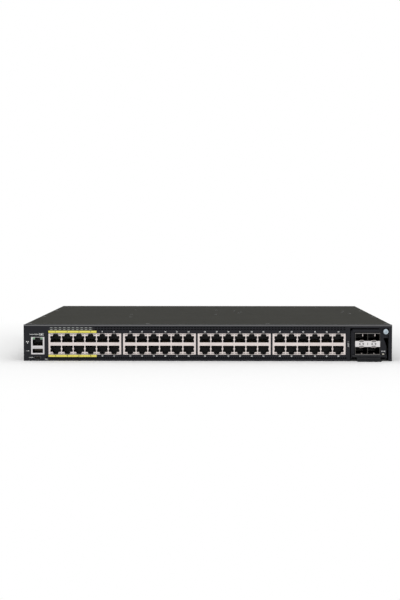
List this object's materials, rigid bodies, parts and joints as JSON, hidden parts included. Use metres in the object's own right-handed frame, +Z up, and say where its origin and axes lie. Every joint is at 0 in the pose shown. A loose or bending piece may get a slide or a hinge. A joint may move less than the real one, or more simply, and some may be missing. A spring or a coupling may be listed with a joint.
{
  "type": "ethernet switch",
  "caption": "Flat rack network switch: rows of stacked jacks in front, a plug-in optical module at the right, sliding power and fan units at the rear.",
  "frame": {"origin": "middle of the flat underside of the case", "axes": "+X to the right seen from the front, +Y from the front to the rear, +Z up"},
  "size_m": [0.44, 0.4128, 0.0436],
  "materials": {
    "case_paint": "fine textured dark grey paint",
    "bezel_paint": "satin near-black paint",
    "shield_metal": "bright plated sheet",
    "cage_metal": "bright plated sheet",
    "plated_steel": "zinc plated sheet",
    "screw_steel": "bright zinc",
    "socket_plastic": "moulded black",
    "magnetics_plastic": "moulded black",
    "board_laminate": "green solder mask",
    "chip_plastic": "moulded black",
    "sink_aluminium": "bare aluminium",
    "light_pipe": "smoked light pipe",
    "lamp_green": "green lens",
    "handle_paint": "satin near-black paint",
    "grip_plastic": "moulded black",
    "latch_plastic": "moulded green",
    "fan_plastic": "moulded black",
    "prong_brass": "nickel over brass"
  },
  "bodies": {
    "chassis": {"bay_dividers": "plated_steel", "board_standoffs": "plated_steel", "chassis_tray": "case_paint", "console_shell": "shield_metal", "console_tongue": "socket_plastic", "front_bezel": "bezel_paint", "heat_sinks": "sink_aluminium", "jack_housing_1": "socket_plastic", "jack_housing_2": "socket_plastic", "jack_housing_3": "socket_plastic", "jack_housing_4": "socket_plastic", "jack_magnetics": "magnetics_plastic", "jack_shield_1": "shield_metal", "jack_shield_2": "shield_metal", "jack_shield_3": "shield_metal", "jack_shield_4": "shield_metal", "main_board": "board_laminate", "management_housing": "socket_plastic", "management_leds": "lamp_green", "management_shield": "shield_metal", "module_screw_anchor": "plated_steel", "module_socket": "socket_plastic", "power_backplane": "board_laminate", "rear_vent_screen": "case_paint", "reset_switch": "socket_plastic", "status_light_bar": "light_pipe", "switch_chips": "chip_plastic", "top_cover": "case_paint", "usb_tongue": "socket_plastic", "vent_screen_bottom": "bezel_paint", "vent_screen_top": "bezel_paint"},
    "module": {"module_faceplate": "bezel_paint", "module_carrier": "plated_steel", "module_board": "board_laminate", "module_connector": "socket_plastic", "sfp_cage": "cage_metal", "sfp_light_pipes": "light_pipe", "ejector_pin": "screw_steel"},
    "ejector": {"ejector_handle": "handle_paint"},
    "captive_screw": {"module_screw": "screw_steel"},
    "reset": {"reset_button": "socket_plastic"},
    "psu_1": {"psu_1_case": "plated_steel", "psu_1_inlet": "socket_plastic", "psu_1_inlet_pins": "prong_brass", "psu_1_handle": "grip_plastic"},
    "psu_1_release": {"psu_1_latch": "latch_plastic"},
    "psu_1_rotor": {"psu_1_impeller": "fan_plastic"},
    "fan_1": {"fan_1_frame": "fan_plastic"},
    "fan_1_rotor": {"fan_1_impeller": "fan_plastic"},
    "fan_1_thumbscrew": {"fan_1_screw": "screw_steel"},
    "psu_2": {"psu_2_case": "plated_steel", "psu_2_inlet": "socket_plastic", "psu_2_inlet_pins": "prong_brass", "psu_2_handle": "grip_plastic"},
    "psu_2_release": {"psu_2_latch": "latch_plastic"},
    "psu_2_rotor": {"psu_2_impeller": "fan_plastic"},
    "fan_2": {"fan_2_frame": "fan_plastic"},
    "fan_2_rotor": {"fan_2_impeller": "fan_plastic"},
    "fan_2_thumbscrew": {"fan_2_screw": "screw_steel"}
  },
  "joints": [
    {"name": "module_slide", "type": "slide", "parent": "chassis", "child": "module", "axis": [0, -1, 0], "range_m": [0, 0.14]},
    {"name": "ejector_swing", "type": "hinge", "parent": "module", "child": "ejector", "pos_m": [0.193, -0.1893, 0.006], "axis": [-1, 0, 0], "range_deg": [0, 75]},
    {"name": "captive_screw_turn", "type": "hinge", "parent": "module", "child": "captive_screw", "pos_m": [0.2123, -0.19, 0.0353], "axis": [0, -1, 0], "continuous": true},
    {"name": "reset_press", "type": "slide", "parent": "chassis", "child": "reset", "axis": [0, 1, 0], "range_m": [0, 0.001], "stiffness_N_per_m": 400},
    {"name": "psu_1_slide", "type": "slide", "parent": "chassis", "child": "psu_1", "axis": [0, 1, 0], "range_m": [0, 0.18]},
    {"name": "psu_1_latch_push", "type": "slide", "parent": "psu_1", "child": "psu_1_release", "axis": [1, 0, 0], "range_m": [0, 0.003], "stiffness_N_per_m": 500},
    {"name": "psu_1_fan_spin", "type": "hinge", "parent": "psu_1", "child": "psu_1_rotor", "pos_m": [-0.1942, 0.18, 0.0208], "axis": [0, 1, 0], "continuous": true},
    {"name": "fan_1_slide", "type": "slide", "parent": "chassis", "child": "fan_1", "axis": [0, 1, 0], "range_m": [0, 0.055]},
    {"name": "fan_1_spin", "type": "hinge", "parent": "fan_1", "child": "fan_1_rotor", "pos_m": [-0.0428, 0.18, 0.0208], "axis": [0, 1, 0], "continuous": true},
    {"name": "fan_1_screw_turn", "type": "hinge", "parent": "fan_1", "child": "fan_1_thumbscrew", "pos_m": [-0.01605, 0.195, 0.0208], "axis": [0, 1, 0], "continuous": true},
    {"name": "psu_2_slide", "type": "slide", "parent": "chassis", "child": "psu_2", "axis": [0, 1, 0], "range_m": [0, 0.18]},
    {"name": "psu_2_latch_push", "type": "slide", "parent": "psu_2", "child": "psu_2_release", "axis": [1, 0, 0], "range_m": [0, 0.003], "stiffness_N_per_m": 500},
    {"name": "psu_2_fan_spin", "type": "hinge", "parent": "psu_2", "child": "psu_2_rotor", "pos_m": [-0.1196, 0.18, 0.0208], "axis": [0, 1, 0], "continuous": true},
    {"name": "fan_2_slide", "type": "slide", "parent": "chassis", "child": "fan_2", "axis": [0, 1, 0], "range_m": [0, 0.055]},
    {"name": "fan_2_spin", "type": "hinge", "parent": "fan_2", "child": "fan_2_rotor", "pos_m": [0.0132, 0.18, 0.0208], "axis": [0, 1, 0], "continuous": true},
    {"name": "fan_2_screw_turn", "type": "hinge", "parent": "fan_2", "child": "fan_2_thumbscrew", "pos_m": [0.03995, 0.195, 0.0208], "axis": [0, 1, 0], "continuous": true}
  ]
}
